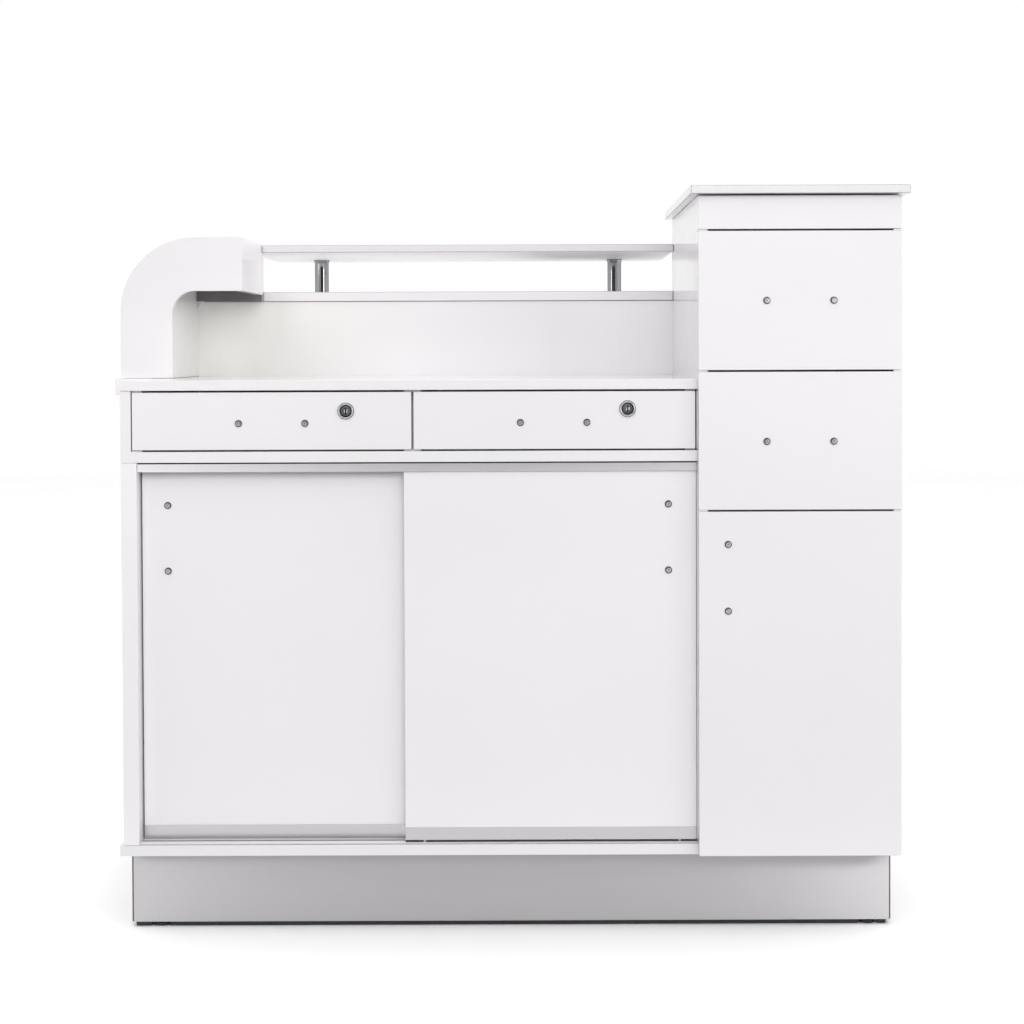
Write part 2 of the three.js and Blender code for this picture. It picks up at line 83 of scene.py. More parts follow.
# --------------------------------------------------------------- materials
class Mat:
    """A node material with one main shader and short calls for its patterns."""

    def __init__(self, name, colour, rough, metal=0.0, ior=None):
        self.m = bpy.data.materials.new(name)
        self.m.use_nodes = True
        self.t = self.m.node_tree
        self.t.nodes.clear()
        out = self.add("ShaderNodeOutputMaterial")
        self.b = self.add("ShaderNodeBsdfPrincipled")
        self.link(self.b.outputs[0], out.inputs[0])
        self.b.inputs["Base Color"].default_value = (*colour, 1)
        self.b.inputs["Roughness"].default_value = rough
        self.b.inputs["Metallic"].default_value = metal
        if ior:
            self.b.inputs["IOR"].default_value = ior
        self.co = self.add("ShaderNodeTexCoord").outputs["Object"]
        self.m.diffuse_color = (*colour, 1)

    def add(self, kind):
        return self.t.nodes.new(kind)

    def link(self, a, b):
        self.t.links.new(a, b)

    def stretched(self, scale):
        n = self.add("ShaderNodeMapping")
        n.inputs["Scale"].default_value = scale
        self.link(self.co, n.inputs["Vector"])
        return n.outputs["Vector"]

    def noise(self, scale, detail=3.0, rough=0.5, vector=None, distortion=0.0):
        n = self.add("ShaderNodeTexNoise")
        n.inputs["Scale"].default_value = scale
        n.inputs["Detail"].default_value = detail
        n.inputs["Roughness"].default_value = rough
        n.inputs["Distortion"].default_value = distortion
        self.link(vector or self.co, n.inputs["Vector"])
        return n.outputs["Fac"]

    def voronoi(self, scale, vector=None, feature="F1"):
        n = self.add("ShaderNodeTexVoronoi")
        n.feature = feature
        n.inputs["Scale"].default_value = scale
        self.link(vector or self.co, n.inputs["Vector"])
        return n.outputs["Distance"]

    def ramp(self, fac, stops):
        n = self.add("ShaderNodeValToRGB")
        e = n.color_ramp.elements
        while len(e) < len(stops):
            e.new(0.5)
        for k, (p, c) in zip(e, stops):
            k.position = p
            k.color = (*c, 1)
        self.link(fac, n.inputs["Fac"])
        return n.outputs["Color"]

    def span(self, fac, lo, hi, a=0.3, b=0.7):
        n = self.add("ShaderNodeMapRange")
        for key, v in zip(("From Min", "From Max", "To Min", "To Max"), (a, b, lo, hi)):
            n.inputs[key].default_value = v
        self.link(fac, n.inputs["Value"])
        return n.outputs["Result"]

    def bump(self, height, strength, distance):
        n = self.add("ShaderNodeBump")
        n.inputs["Strength"].default_value = strength
        n.inputs["Distance"].default_value = distance
        self.link(height, n.inputs["Height"])
        self.link(n.outputs["Normal"], self.b.inputs["Normal"])

    def colour(self, socket):
        self.link(socket, self.b.inputs["Base Color"])

    def rough(self, socket):
        self.link(socket, self.b.inputs["Roughness"])


def laminate(name, colour, rough_lo, rough_hi, vary=0.012, peel=0.006):
    """High-gloss laminate: slow tone drift, uneven polish and a fine orange peel."""
    m = Mat(name, colour, rough_lo)
    dark = tuple(c * (1 - vary) for c in colour)
    light = tuple(min(1, c * (1 + vary)) for c in colour)
    m.colour(m.ramp(m.noise(2.3, 2.0, 0.5), [(0.3, dark), (0.7, light)]))
    m.rough(m.span(m.noise(17.0, 4.0, 0.6), rough_lo, rough_hi))
    m.bump(m.noise(420.0, 1.0, 0.4), peel, 0.0004)
    return m.m


WHITE = laminate("gloss_white_laminate", (0.765, 0.748, 0.765), 0.10, 0.17)


def wall_painted_light_and_shade():
    """The inner wall's sheet, its tone painted light and shade along the wall and between top and bottom: lightest at
    the left end, most of all at the top, darker further along, with a warmer tint at the left end.
    """
    m = Mat("gloss_white_wall", (0.89, 0.875, 0.885), 0.12)
    sep = m.add("ShaderNodeSeparateXYZ")
    m.link(m.co, sep.inputs[0])
    drift = m.add("ShaderNodeMath")
    drift.operation = "MULTIPLY_ADD"
    drift.inputs[1].default_value = 0.16
    m.link(m.noise(3.0, 2.0), drift.inputs[0])
    m.link(sep.outputs["X"], drift.inputs[2])
    along = m.span(drift.outputs[0], 0.0, 1.0, -0.45, 0.35)
    # painted light and shade for the wall's upper part, set along the wall
    upper = m.ramp(
        along,
        [
            (0.0, (0.985, 0.980, 0.940)),
            (0.07, (0.975, 0.970, 0.930)),
            (0.16, (0.735, 0.726, 0.702)),
            (0.45, (0.730, 0.714, 0.727)),
            (0.77, (0.685, 0.669, 0.685)),
            (1.0, (0.772, 0.757, 0.772)),
        ],
    )
    # painted light and shade for the wall's lower part, set along the wall
    lower = m.ramp(
        along,
        [
            (0.0, (0.915, 0.910, 0.872)),
            (0.125, (0.695, 0.687, 0.664)),
            (0.45, (0.785, 0.768, 0.782)),
            (0.77, (0.725, 0.708, 0.725)),
            (1.0, (0.785, 0.769, 0.785)),
        ],
    )
    # the painted shading blends from the lower ramp to the upper one with height
    sheet = m.add("ShaderNodeMix")
    sheet.data_type = "RGBA"
    m.link(m.span(sep.outputs["Z"], 1.0, 0.0, 0.826, 0.905), sheet.inputs[0])
    m.link(upper, sheet.inputs[6])
    m.link(lower, sheet.inputs[7])
    m.colour(sheet.outputs[2])
    m.rough(m.span(m.noise(17.0, 4.0, 0.6), 0.12, 0.2))
    m.bump(m.noise(420.0, 1.0, 0.4), 0.006, 0.0004)
    return m.m


WALL_PAINTED_SHADING = wall_painted_light_and_shade()
# the arch's face is painted a shade darker than the white, and its inside and arm end lighter: painted shade and
# painted light
ARCH_FACE_SHADED = laminate("gloss_white_arch", (0.738, 0.722, 0.736), 0.10, 0.17)
ARCH_INSIDE_LIT = laminate("gloss_white_arch_inside", (0.925, 0.914, 0.903), 0.12, 0.20)
ARM_END_LIT = laminate("gloss_white_arm_end", (0.865, 0.848, 0.865), 0.12, 0.20)
# the edge bands are painted a shade darker than the white, the underside lighter and the upper faces darker: painted
# shade and painted light
BAND_PAINTED_SHADE = laminate("edge_band", (0.705, 0.690, 0.705), 0.16, 0.24)
LIPPING_PAINTED_SHADE = laminate("counter_edge_band", (0.645, 0.631, 0.645), 0.16, 0.24)
FOOTING_PAINTED_SHADE = laminate("base_edge_band", (0.735, 0.719, 0.735), 0.16, 0.24)
# the side panels and the sliding doors take lighter copies of the white: painted light
SIDE_LIT = laminate("gloss_white_side", (0.805, 0.788, 0.805), 0.11, 0.14, 0.012, 0.0012)
DOOR_LIT = laminate("gloss_white_door", (0.785, 0.768, 0.785), 0.10, 0.17)
EDGE = laminate("laminate_core_edge", (0.40, 0.40, 0.41), 0.28, 0.40, 0.05)
UNDER_LIT = laminate("matt_backing_laminate", (0.845, 0.83, 0.845), 0.50, 0.60, 0.015, 0.02)
SHEET_SHADED = laminate("upper_sheet", (0.700, 0.685, 0.700), 0.10, 0.17)
TOPS_SHADED = laminate("worktop_sheet", (0.745, 0.730, 0.745), 0.04, 0.07, 0.012, 0.0005)
# near-black for the plinth's corner joints, also painted into the track's rebate as painted shade
JOINT_AND_SHADE = laminate("dark_corner_joint", (0.045, 0.045, 0.048), 0.45, 0.6, 0.1)
JOINT_AND_SHADE.node_tree.nodes["Principled BSDF"].inputs["Specular IOR Level"].default_value = 0.15


def board():
    """Matt pale drawer board: faint linen weave and small flecks."""
    m = Mat("drawer_board", (0.62, 0.62, 0.61), 0.45)
    weave = m.noise(600.0, 2.0, 0.6, m.stretched((1, 1, 0.12)))
    m.colour(
        m.ramp(weave, [(0.3, (0.58, 0.58, 0.572)), (0.7, (0.66, 0.66, 0.652))])
    )
    m.rough(m.span(m.noise(60.0, 3.0), 0.38, 0.52))
    m.bump(weave, 0.12, 0.0003)
    return m.m


def brushed(name, colour, lo, hi, along, metal=1.0, depth=0.10, tone=0.06):
    """Metal with fine lines along one axis, as brushing or drawing leaves them."""
    m = Mat(name, colour, lo, metal)
    s = [1.0, 1.0, 1.0]
    s[along] = 0.012
    v = m.stretched(tuple(s))
    fine = m.noise(1500.0, 2.0, 0.6, v)
    broad = m.noise(240.0, 3.0, 0.6, v)
    m.colour(
        m.ramp(
            broad,
            [
                (0.3, tuple(c * (1 - tone) for c in colour)),
                (0.7, tuple(c * (1 + tone) for c in colour)),
            ],
        )
    )
    m.rough(m.span(fine, lo, hi))
    m.bump(fine, depth, 0.0002)
    return m.m


def chrome(name, colour, lo, hi):
    """Plated metal: bright, with faint polishing haze."""
    m = Mat(name, colour, lo, 1.0)
    m.rough(m.span(m.noise(180.0, 4.0, 0.65), lo, hi))
    m.colour(
        m.ramp(
            m.noise(35.0, 2.0),
            [(0.3, tuple(c * 0.96 for c in colour)), (0.7, colour)],
        )
    )
    m.bump(m.noise(700.0, 2.0), 0.015, 0.0002)
    return m.m


def plastic(name, colour, lo, hi, grain=0.15):
    """Moulded plastic with a fine spark-eroded grain."""
    m = Mat(name, colour, lo)
    g = m.noise(1400.0, 3.0, 0.7)
    m.colour(
        m.ramp(
            m.noise(40.0, 3.0),
            [(0.3, tuple(c * 0.85 for c in colour)), (0.7, tuple(c * 1.15 for c in colour))],
        )
    )
    m.rough(m.span(g, lo, hi))
    m.bump(g, grain, 0.0003)
    return m.m


BOARD = board()
STEEL = brushed("brushed_steel_laminate", (0.396, 0.386, 0.396), 0.32, 0.42, 0, 0.55, 0.02, 0.012)
ALU = brushed("satin_aluminium", (0.855, 0.826, 0.855), 0.28, 0.32, 0, 1.0, 0.003, 0.003)
TRACK = brushed("coated_track", (0.80, 0.78, 0.80), 0.30, 0.38, 0, 0.25, 0.005, 0.01)
# a darker copy of the satin aluminium for the door strips and the bottom track's lip: painted shade
STRIP_SHADED = brushed("satin_aluminium_strip", (0.510, 0.496, 0.510), 0.28, 0.34, 0, 1.0, 0.003, 0.003)
RUNNER = brushed("zinc_runner", (0.55, 0.56, 0.58), 0.28, 0.40, 1, 1.0, 0.06, 0.05)
CHROME = chrome("chrome_post", (0.36, 0.36, 0.37), 0.05, 0.09)
CHROME.node_tree.nodes["Principled BSDF"].inputs["Specular Tint"].default_value = (0.25, 0.25, 0.26, 1)
TRIM = chrome("chrome_trim", (0.52, 0.52, 0.53), 0.08, 0.16)
SCREW = chrome("screw_nickel", (0.50, 0.49, 0.495), 0.28, 0.40)
# a lighter copy of the screw nickel for the screws on the tower's upper drawer: painted light
PALE_LIT = chrome("screw_nickel_bright", (0.74, 0.73, 0.74), 0.28, 0.40)
# near-black for screw-head rims and the lock bezel's skirt: painted dark reflection
RIM_DARK_REFLECTION = chrome("screw_rim", (0.10, 0.10, 0.103), 0.25, 0.38)
NICKEL = chrome("nickel_hinge", (0.56, 0.55, 0.53), 0.18, 0.28)
PLUG = chrome("lock_plug", (0.19, 0.19, 0.195), 0.26, 0.38)
BRIGHT = chrome("lock_guard", (0.92, 0.92, 0.92), 0.30, 0.40)
# near-black for the keyway slot and the groove round the plug: painted shade
KEYWAY_SHADE = plastic("keyway_dark", (0.006, 0.006, 0.006), 0.5, 0.7)
# black plastic for the feet, also used for the black strips in the gaps under the plinth and the front sliding door,
# which are painted shade
FOOT_AND_GAP_SHADE = plastic("foot_plastic", (0.012, 0.012, 0.013), 0.38, 0.52)
DARK = plastic("arch_liner_dark", (0.16, 0.156, 0.161), 0.30, 0.45, 0.08)


# ------------------------------------------------------------ mesh helpers
def solid_of(node):
    """The node's closed surface with shared corners and its flat faces merged."""
    src = frame["nodes"][node].data
    bm = bmesh.new()
    vs = [bm.verts.new(v.co) for v in src.vertices]
    for p in src.polygons:
        bm.faces.new([vs[i] for i in p.vertices])
    bmesh.ops.remove_doubles(bm, verts=bm.verts[:], dist=1e-5)
    bmesh.ops.dissolve_degenerate(bm, edges=bm.edges[:], dist=1e-6)
    bmesh.ops.dissolve_limit(
        bm,
        angle_limit=math.radians(0.5),
        verts=bm.verts[:],
        edges=bm.edges[:],
    )
    bmesh.ops.recalc_face_normals(bm, faces=bm.faces[:])
    return bm


def sharp_edges(bm, least=28.0):
    return [
        e
        for e in bm.edges
        if e.is_manifold and e.calc_face_angle(0.0) > math.radians(least)
    ]


def soften(bm, edges, width, segs=2, material=-1):
    if edges:
        bmesh.ops.bevel(
            bm,
            geom=edges,
            offset=width,
            offset_type="OFFSET",
            segments=segs,
            profile=0.5,
            affect="EDGES",
            clamp_overlap=True,
            loop_slide=True,
            material=material,
        )


def piece(name, bm, mats, body, nodes=(), crease=40.0, weighted=True):
    bmesh.ops.recalc_face_normals(bm, faces=bm.faces[:])
    me = bpy.data.meshes.new(name)
    bm.to_mesh(me)
    bm.free()
    for m in mats:
        me.materials.append(m)
    me.polygons.foreach_set("use_smooth", [True] * len(me.polygons))
    me.set_sharp_from_angle(angle=math.radians(crease))
    o = bpy.data.objects.new(name, me)
    scene.collection.objects.link(o)
    if weighted:
        w = o.modifiers.new("even_flats", "WEIGHTED_NORMAL")
        w.keep_sharp = True
        w.weight = 60
    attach(o, body)
    if nodes:
        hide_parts(*nodes)
    return o


def stretch(bm, lo, hi, grow):
    """Moves the faces on the box's outer planes out, to close a fitting gap in mm."""
    for (axis, side), by in grow.items():
        at = (lo, hi)[side][axis]
        for v in bm.verts:
            if abs(v.co[axis] - at) < 2e-4:
                v.co[axis] += (-by, by)[side] * MM


def on_plane(e, axis, at):
    return all(abs(v.co[axis] - at) < 3e-4 for v in e.verts)


def finished(
    node,
    mat,
    width=0.8,
    edge=None,
    paint=None,
    extra=(),
    segs=2,
    crisp=(),
    grow=None,
):
    """A piece made from its node: softened edges, and a material by face. crisp lists the box planes whose edges stay square."""
    bm = solid_of(node)
    mats = [mat] + ([edge] if edge else []) + list(extra)
    if paint:
        paint(bm)
    lo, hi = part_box(node)
    es = [
        e
        for e in sharp_edges(bm)
        if not any(on_plane(e, a, (lo, hi)[k][a]) for a, k in crisp)
    ]
    if grow:
        stretch(bm, lo, hi, grow)
    soften(bm, es, width * MM, segs, 1 if edge else -1)
    return piece(node + "_finished", bm, mats, BODY_OF[node], (node,))


def turned(profile, centre, axis, segs=48, rows=None):
    """A closed turned solid. profile runs (radius, height along axis) in mm from the axis out and back to it, and rows gives a material for each band."""
    w = Vector(axis).normalized()
    u = Vector((1, 0, 0)) if abs(w.x) < 0.9 else Vector((0, 1, 0))
    v = w.cross(u).normalized()
    bm = bmesh.new()
    rings = []
    for r, h in profile:
        base = centre + w * (h * MM)
        if r < 1e-6:
            rings.append([bm.verts.new(base)])
        else:
            rings.append(
                [
                    bm.verts.new(
                        base
                        + u * (r * MM * math.cos(2 * math.pi * k / segs))
                        + v * (r * MM * math.sin(2 * math.pi * k / segs))
                    )
                    for k in range(segs)
                ]
            )
    for i, (a, b) in enumerate(zip(rings, rings[1:])):
        for k in range(segs):
            n = (k + 1) % segs
            if len(a) == 1:
                f = bm.faces.new((a[0], b[k], b[n]))
            elif len(b) == 1:
                f = bm.faces.new((a[k], b[0], a[n]))
            else:
                f = bm.faces.new((a[k], b[k], b[n], a[n]))
            f.material_index = rows[i] if rows else 0
    return bm


def step(a, b, x):
    t = max(0.0, min(1.0, (x - a) / (b - a)))
    return t * t * (3 - 2 * t)


# ------------------------------------------------------------ white boards
for name in (
    "drawer_case_side_right",
    "client_front_panel",
    "tower_side_right",
    "tower_back",
    "tower_fascia",
    "arch_ledge",
):
    finished(name, WHITE, 0.7)
finished(
    "back_panel",
    WALL_PAINTED_SHADING,
    0.7,
    crisp=((0, 0), (0, 1), (2, 0)),
    grow={(0, 1): 0.44},
)
# side panel, drawer case and deck meet in one flush face with hairline joints
# the side panels take the lighter copy of the white: painted light
finished("tower_side_left", SIDE_LIT, 0.7)
finished("left_side_panel", SIDE_LIT, 0.35)
finished("drawer_case_side_left", WHITE, 0.3)
finished(
    "drawer_deck",
    WHITE,
    0.3,
    crisp=((0, 0), (0, 1)),
    grow={(0, 0): 0.38, (0, 1): 0.44},
)
finished("drawer_divider", WHITE, 0.6)


def backed(bm):
    """The front edge takes its band, painted a shade darker, the underside a matt sheet painted lighter, and the upper
    face a sheet painted a shade darker: painted shade and painted light.
    """
    for f in bm.faces:
        f.normal_update()
        if f.normal.z < -0.9:
            f.material_index = 2
        elif f.normal.y < -0.9:
            f.material_index = 3
        elif f.normal.z > 0.9:
            f.material_index = 4


def banded(bm):
    """The front edge takes its band, painted a shade darker, and the upper sheet is painted a shade darker too: painted
    shade.
    """
    for f in bm.faces:
        f.normal_update()
        if f.normal.y < -0.9:
            f.material_index = 2
        elif f.normal.z > 0.9:
            f.material_index = 3


def fronted(bm):
    """The front edge of the base takes a band of its own, painted a shade darker: painted shade."""
    for f in bm.faces:
        f.normal_update()
        if f.normal.y < -0.9:
            f.material_index = 1


def lined(bm):
    """The sheet inside the bend and on the arm's end is painted lighter than the face: painted light."""
    for f in bm.faces:
        f.normal_update()
        if f.normal.x > 0.05 and abs(f.normal.y) < 0.5:
            f.material_index = 2 if f.calc_center_median().x > -0.42 else 1


def topped(bm):
    """The worktop's upper sheet is painted a shade darker than its edges: painted shade."""
    for f in bm.faces:
        f.normal_update()
        if f.normal.z > 0.9:
            f.material_index = 1


finished(
    "worktop",
    WHITE,
    0.7,
    paint=topped,
    extra=(TOPS_SHADED,),
    crisp=((0, 1),),
    grow={(0, 1): 0.44},
)
finished("base_panel", WHITE, 0.7, paint=fronted, extra=(FOOTING_PAINTED_SHADE,))
for name in ("tower_top", "counter_shelf"):
    finished(name, WHITE, 0.9, edge=EDGE, paint=banded, extra=(BAND_PAINTED_SHADE, SHEET_SHADED))
finished(
    "transaction_counter",
    WHITE,
    0.9,
    edge=EDGE,
    paint=backed,
    extra=(UNDER_LIT, LIPPING_PAINTED_SHADE, SHEET_SHADED),
)
finished(
    "arch_shell",
    ARCH_FACE_SHADED,
    1.2,
    paint=lined,
    extra=(ARCH_INSIDE_LIT, ARM_END_LIT),
    segs=3,
    crisp=((1, 1),),
    grow={(1, 1): 0.94},
)
finished("arch_liner", DARK, 0.5)



def board_mesh(node, width, crisp=(), grow=None):
    """The node's outer block with softened edges, its faces kept square and whole."""
    lo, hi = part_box(node)
    bm = bmesh.new()
    bmesh.ops.create_cube(bm, size=1.0)
    for v in bm.verts:
        v.co = Vector((lo[k] + (v.co[k] + 0.5) * (hi[k] - lo[k]) for k in range(3)))
    es = [
        e
        for e in bm.edges
        if not any(on_plane(e, a, (lo, hi)[k][a]) for a, k in crisp)
    ]
    if grow:
        stretch(bm, lo, hi, grow)
    soften(bm, es, width * MM, 2)
    return bm


def bored(bm, name, bores):
    """The board less its blind bores, each (centre, axis, radius, depth) in mm."""
    me = bpy.data.meshes.new(name + "_blank")
    bm.to_mesh(me)
    bm.free()
    blank = bpy.data.objects.new(name + "_blank", me)
    scene.collection.objects.link(blank)
    cut = bmesh.new()
    for centre, axis, r, deep in bores:
        part = turned([(0, 1.0), (r, 1.0), (r, -deep), (0, -deep)], centre, axis, 56)
        part_me = bpy.data.meshes.new("bore")
        bmesh.ops.recalc_face_normals(part, faces=part.faces[:])
        part.to_mesh(part_me)
        part.free()
        cut.from_mesh(part_me)
        bpy.data.meshes.remove(part_me)
    cut_me = bpy.data.meshes.new(name + "_bores")
    cut.to_mesh(cut_me)
    cut.free()
    cutter = bpy.data.objects.new(name + "_bores", cut_me)
    scene.collection.objects.link(cutter)
    mod = blank.modifiers.new("bores", "BOOLEAN")
    mod.operation = "DIFFERENCE"
    mod.solver = "EXACT"
    mod.object = cutter
    bpy.context.view_layer.update()
    dg = bpy.context.evaluated_depsgraph_get()
    seen = blank.evaluated_get(dg)
    got = bmesh.new()
    got.from_mesh(seen.to_mesh())
    seen.to_mesh_clear()
    for o in (blank, cutter):
        d = o.data
        bpy.data.objects.remove(o)
        bpy.data.meshes.remove(d)
    return got


for name in (
    "desk_drawer_left_front",
    "desk_drawer_right_front",
    "tower_drawer_upper_front",
    "tower_drawer_lower_front",
):
    piece(
        name + "_finished",
        board_mesh(name, 0.8),
        [WHITE],
        BODY_OF[name],
        (name,),
    )

# the sliding doors run straight into their bottom strips
# the sliding doors take the lighter copy of the white: painted light
for name in ("sliding_door_left", "sliding_door_right"):
    piece(
        name + "_finished",
        board_mesh(name, 0.8, ((2, 0),), {(2, 0): 0.36}),
        [DOOR_LIT],
        BODY_OF[name],
        (name,),
    )

# the tower door has two blind cup bores in its back
bores = []
for node in ("tower_hinge_upper", "tower_hinge_lower"):
    lo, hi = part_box(node)
    mid = (lo + hi) / 2
    bores.append(
        (Vector((mid.x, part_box("tower_door")[1].y, mid.z)), (0, 1, 0), 17.5, 12.0)
    )
piece(
    "tower_door_finished",
    bored(board_mesh("tower_door", 0.8), "tower_door", bores),
    [WHITE],
    BODY_OF["tower_door"],
    ("tower_door",),
)



def strips_piece(name, boxes, mat, width, body="carcass"):
    """Several small softened strips as one piece on one body."""
    bm = bmesh.new()
    for lo, hi in boxes:
        got = bmesh.ops.create_cube(bm, size=1.0)["verts"]
        for v in got:
            v.co = Vector((lo[k] + (v.co[k] + 0.5) * (hi[k] - lo[k]) for k in range(3)))
    soften(bm, bm.edges[:], width * MM, 1)
    piece(name, bm, [mat], body)


# white lips close the ends of the tower's front gaps, flush with the side panels
lips = []
stack = ("tower_fascia", "tower_drawer_upper_front", "tower_drawer_lower_front", "tower_door")
for above, below in zip(stack, stack[1:]):
    z0, z1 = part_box(below)[1].z + 0.3 * MM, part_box(above)[0].z - 0.3 * MM
    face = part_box(below)[0].y
    for side, x_in in (("tower_side_left", 13.3), ("tower_side_right", 11.5)):
        lo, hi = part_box(side)
        x0, x1 = (
            (lo.x, lo.x + x_in * MM) if side.endswith("left") else (hi.x - x_in * MM, hi.x)
        )
        lips.append(((x0, face + 1.6 * MM, z0), (x1, lo.y - 0.1 * MM, z1)))
strips_piece("tower_gap_lips", lips, WHITE, 0.2)

# the uprights of the drawer case show at the ends and middle of the drawer gaps
lips = []
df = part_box("desk_drawer_left_front"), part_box("desk_drawer_right_front")
under_top, over_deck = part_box("worktop")[0].z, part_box("drawer_deck")[1].z
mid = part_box("drawer_divider")
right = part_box("drawer_case_side_right")
for x0, x1, deep in (
    (df[0][0].x - 1.2 * MM, df[0][0].x + 13.2 * MM, 4.0),
    (mid[0].x, mid[1].x, 5.0),
    (right[0].x, df[1][1].x, 7.0),
):
    for z0, z1 in ((df[0][1].z, under_top), (over_deck, df[0][0].z)):
        lips.append(
            (
                (x0, df[0][0].y + deep * MM, z0 + 0.3 * MM),
                (x1, df[0][1].y + 0.2 * MM, z1 - 0.3 * MM),
            )
        )
strips_piece("desk_gap_lips", lips, WHITE, 0.2)

# thin white buffer strips line the tower's side beside the right drawer and door
wall_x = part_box("tower_side_left")[0].x
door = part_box("sliding_door_right")
strips_piece(
    "tower_buffer_strips",
    [
        (
            (wall_x - 1.15 * MM, df[1][0].y + 0.8 * MM, df[1][0].z - 0.6 * MM),
            (wall_x - 0.05 * MM, df[1][1].y, df[1][1].z + 0.6 * MM),
        ),
        (
            (wall_x - 0.90 * MM, door[0].y - 1.0 * MM, door[0].z - 18 * MM),
            (wall_x - 0.05 * MM, door[1].y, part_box("door_track_top")[0].z - 0.4 * MM),
        ),
    ],
    WHITE,
    0.15,
)

# ------------------------------------------------- drawer boxes, runners
for name in (
    "desk_drawer_left_box",
    "desk_drawer_right_box",
    "tower_drawer_upper_box",
    "tower_drawer_lower_box",
):
    finished(name, BOARD, 0.6)
finished("tower_runner_frame", RUNNER, 0.4)

# ------------------------------------------------------- metal profiles
# the bottom strips take the darker aluminium: painted shade
for name in ("sliding_door_left_strip", "sliding_door_right_strip"):
    finished(name, STRIP_SHADED, 0.4, crisp=((2, 1),))

# a black strip, parted at the two rollers, fills the gap at the foot of the front sliding door: painted shade for that
# gap
lo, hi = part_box("sliding_door_right_strip")
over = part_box("door_track_bottom")[1].z - 0.45 * MM
strips_piece(
    "sliding_door_right_brush",
    [
        ((a, lo.y - 1.2 * MM, over), (b, lo.y + 0.2 * MM, over + 2.2 * MM))
        for a, b in (
            (lo.x + 0.4 * MM, lo.x + 26.5 * MM),
            (lo.x + 30.0 * MM, hi.x - 26.5 * MM),
            (hi.x - 23.5 * MM, hi.x - 0.4 * MM),
        )
    ],
    FOOT_AND_GAP_SHADE,
    0.2,
    "sliding_door_right",
)


def shadow_groove(bm):
    """The small rebate along the top of the track's lip lies in shadow, and that shade is painted near-black on its
    faces.
    """
    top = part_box("door_track_top")[1].z
    for f in bm.faces:
        f.normal_update()
        c = f.calc_center_median()
        if (f.normal.y < -0.9 and c.z > top - 1.7 * MM) or (
            f.normal.z > 0.9 and c.z < top - 1.0 * MM
        ):
            f.material_index = 1


finished(
    "door_track_top",
    ALU,
    0.3,
    paint=shadow_groove,
    extra=(JOINT_AND_SHADE,),
)


def low_lip(bm):
    """The front lip of the bottom track stands lower than its ribs, and its front is painted in the darker aluminium:
    painted shade.
    """
    lo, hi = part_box("door_track_bottom")
    for v in bm.verts:
        if v.co.y < lo.y + 1 * MM and v.co.z > hi.z - 0.2 * MM:
            v.co.z -= 1.6 * MM
    fronted(bm)


finished(
    "door_track_bottom",
    TRACK,
    0.3,
    paint=low_lip,
    extra=(STRIP_SHADED,),
)


def make_plinth():
    """Plinth ring: brushed faces, upright outer corners closed by a dark joint."""
    bm = solid_of("plinth")
    lo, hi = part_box("plinth")
    upright = [
        e
        for e in sharp_edges(bm)
        if abs((e.verts[0].co - e.verts[1].co).normalized().z) > 0.9
        and e.verts[0].co.y < lo.y + 0.001
        and (
            abs(e.verts[0].co.x - lo.x) < 0.001 or abs(e.verts[0].co.x - hi.x) < 0.001
        )
    ]
    stretch(bm, lo, hi, {(0, 0): 0.7, (0, 1): 2.0})
    soften(bm, upright, 2.8 * MM, 1, 1)
    soften(
        bm,
        [
            e
            for e in sharp_edges(bm, 60)
            if abs((e.verts[0].co - e.verts[1].co).normalized().z) < 0.5
        ],
        0.4 * MM,
        1,
    )
    piece(
        "plinth_finished",
        bm,
        [STEEL, JOINT_AND_SHADE],
        BODY_OF["plinth"],
        ("plinth",),
    )


make_plinth()

# black strips in the shadow gap under the plinth, clear of the feet: painted shade that darkens the gap
lo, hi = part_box("plinth")
fl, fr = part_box("foot_front_left"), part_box("foot_front_right")
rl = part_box("foot_rear_left")
z0, z1 = 0.9 * MM, lo.z - 0.1 * MM
y0, y1 = lo.y + 3 * MM, lo.y + 11 * MM
strips_piece(
    "plinth_floor_strips",
    [
        ((lo.x + 5 * MM, y0, z0), (fl[0].x - 1 * MM, y1, z1)),
        ((fl[1].x + 1 * MM, y0, z0), (fr[0].x - 1 * MM, y1, z1)),
        ((fr[1].x + 1 * MM, y0, z0), (hi.x - 5 * MM, y1, z1)),
        ((lo.x + 3 * MM, y1 + 20 * MM, z0), (lo.x + 11 * MM, hi.y - 4 * MM, z1)),
        ((hi.x - 11 * MM, y1 + 20 * MM, z0), (hi.x - 3 * MM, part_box("foot_rear_right")[1].y, z1)),
    ],
    FOOT_AND_GAP_SHADE,
    0.4,
)

# --------------------------------------------------------- turned pieces
for side in ("left", "right"):
    node = "counter_post_" + side
    lo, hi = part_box(node)
    h = (hi.z - lo.z) / MM
    R = 12.4
    F = (hi.x - lo.x) / MM / 2
    prof = [
        (0, 0),
        (F, 0),
        (F, 1.0),
        (F - 0.25, 1.3),
        (R + 0.5, 4.1),
        (R, 4.5),
        (R, h / 2),
        (R, h - 4.5),
        (R + 0.5, h - 4.1),
        (F - 0.25, h - 1.3),
        (F, h - 1.0),
        (F, h),
        (0, h),
    ]
    bm = turned(prof, Vector(((lo.x + hi.x) / 2, (lo.y + hi.y) / 2, lo.z)), (0, 0, 1), 72)
    piece(node + "_finished", bm, [CHROME], BODY_OF[node], (node,), 30)

